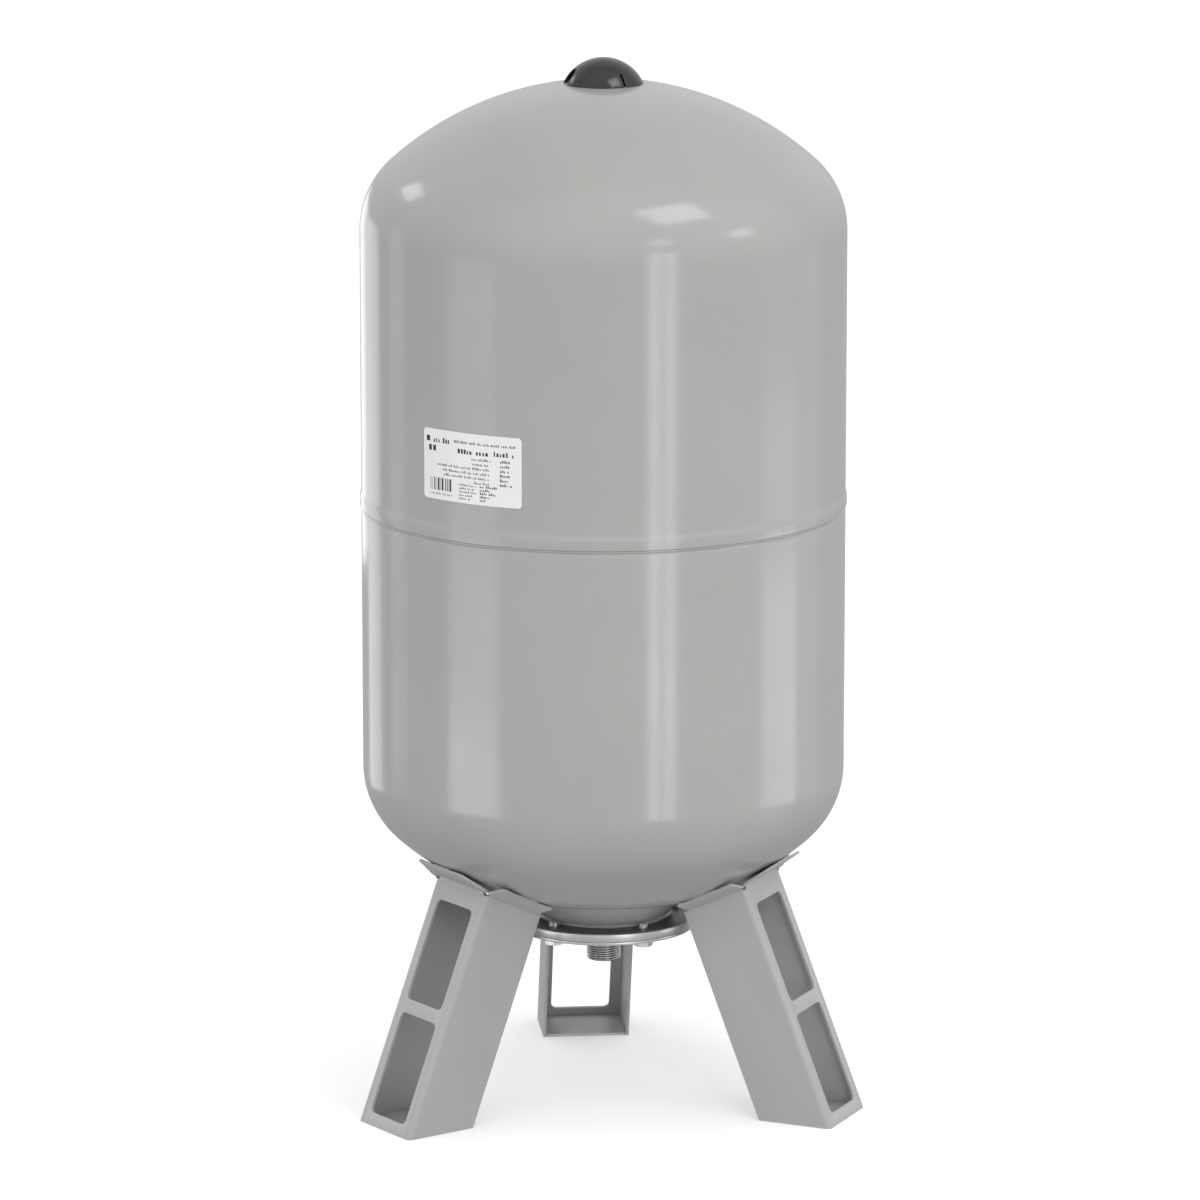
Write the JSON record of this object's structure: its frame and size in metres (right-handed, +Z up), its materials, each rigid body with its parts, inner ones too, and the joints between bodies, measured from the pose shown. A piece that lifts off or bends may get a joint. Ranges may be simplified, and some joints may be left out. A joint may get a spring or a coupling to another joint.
{
  "type": "expansion vessel",
  "caption": "Floor-standing steel expansion vessel: domed upright tank on folded-sheet legs, bolted bottom flange with threaded water connection, charging valve under a domed dust cap.",
  "frame": {"origin": "on the floor, under the centre of the whole object's box", "axes": "+Z up the vessel's axis, +Y towards the rear leg, +X to the right seen from the label's side"},
  "size_m": [0.39, 0.3942, 0.8111],
  "materials": {
    "shell_paint": "semi-gloss light grey enamel",
    "leg_paint": "satin light grey enamel",
    "flange_steel": "turned zinc-plated steel",
    "nozzle_steel": "machined zinc-plated steel",
    "bolt_zinc": "bright zinc",
    "bladder_rubber": "matt",
    "boss_steel": "machined steel",
    "valve_brass": "machined",
    "spring_steel": "drawn wire",
    "seal_rubber": "matt",
    "valve_cap_plastic": "moulded",
    "dust_cap_plastic": "satin, finely pebbled",
    "label_film": "white self-adhesive film"
  },
  "bodies": {
    "vessel": {"upper_shell": "shell_paint", "lower_shell": "shell_paint", "girth_weld": "shell_paint", "leg_left": "leg_paint", "leg_right": "leg_paint", "leg_rear": "leg_paint", "neck_flange": "flange_steel", "cover_flange": "flange_steel", "water_nozzle": "nozzle_steel", "flange_bolt_1": "bolt_zinc", "flange_bolt_2": "bolt_zinc", "flange_bolt_3": "bolt_zinc", "flange_bolt_4": "bolt_zinc", "flange_bolt_5": "bolt_zinc", "bladder": "bladder_rubber", "valve_boss": "boss_steel", "valve_stem": "valve_brass", "valve_core_body": "valve_brass", "valve_core_seal": "seal_rubber", "valve_core_spring": "spring_steel", "rating_label": "label_film"},
    "dust_cap": {"dust_cap": "dust_cap_plastic"},
    "valve_cap_carrier": {"valve_cap_seal": "seal_rubber"},
    "valve_cap": {"valve_cap": "valve_cap_plastic"},
    "valve_pin": {"valve_core_pin": "valve_brass"}
  },
  "joints": [
    {"name": "dust_cap_lift", "type": "slide", "parent": "vessel", "child": "dust_cap", "axis": [0, 0, 1], "range_m": [0, 0.05]},
    {"name": "valve_cap_lift", "type": "slide", "parent": "vessel", "child": "valve_cap_carrier", "axis": [0, 0, 1], "range_m": [0, 0.00397]},
    {"name": "valve_cap_turn", "type": "hinge", "parent": "valve_cap_carrier", "child": "valve_cap", "pos_m": [0, -0.0098, 0.801], "axis": [0, 0, 1], "range_deg": [0, 1800]},
    {"name": "valve_pin_press", "type": "slide", "parent": "vessel", "child": "valve_pin", "axis": [0, 0, -1], "range_m": [0, 0.0015], "stiffness_N_per_m": 1200, "springref_m": -0.002, "deforming": ["valve_core_spring"]}
  ],
  "couplings": [
    {"joint": "valve_cap_turn", "follows": "valve_cap_lift", "rad_per_m": 7913.3}
  ]
}
